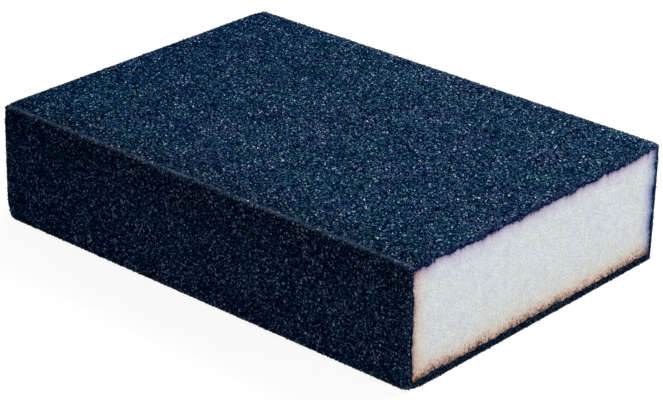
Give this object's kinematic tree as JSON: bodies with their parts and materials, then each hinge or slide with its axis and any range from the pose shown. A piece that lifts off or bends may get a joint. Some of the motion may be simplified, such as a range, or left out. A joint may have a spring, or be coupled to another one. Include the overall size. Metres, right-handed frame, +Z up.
{
  "type": "sanding sponge",
  "caption": "Rectangular hand sanding sponge: a white foam block with dark blue abrasive grit bonded round its long faces and bare sawn ends.",
  "frame": {"origin": "middle of the base working face, on the surface that the block lies on", "axes": "+X along the length, square to the sawn ends; +Y from the front side to the back side; +Z up, from the base working face to the top one"},
  "size_m": [0.1, 0.072, 0.024],
  "materials": {
    "foam": "bluish-white fine-celled soft foam, sawn, with a warm resin stain round its edge",
    "grit_coat": "coarse angular mineral grit in dark blue resin, matt between bright glinting facets"
  },
  "bodies": {
    "root": {"foam_core": "foam", "abrasive_coat": "grit_coat"}
  },
  "joints": []
}
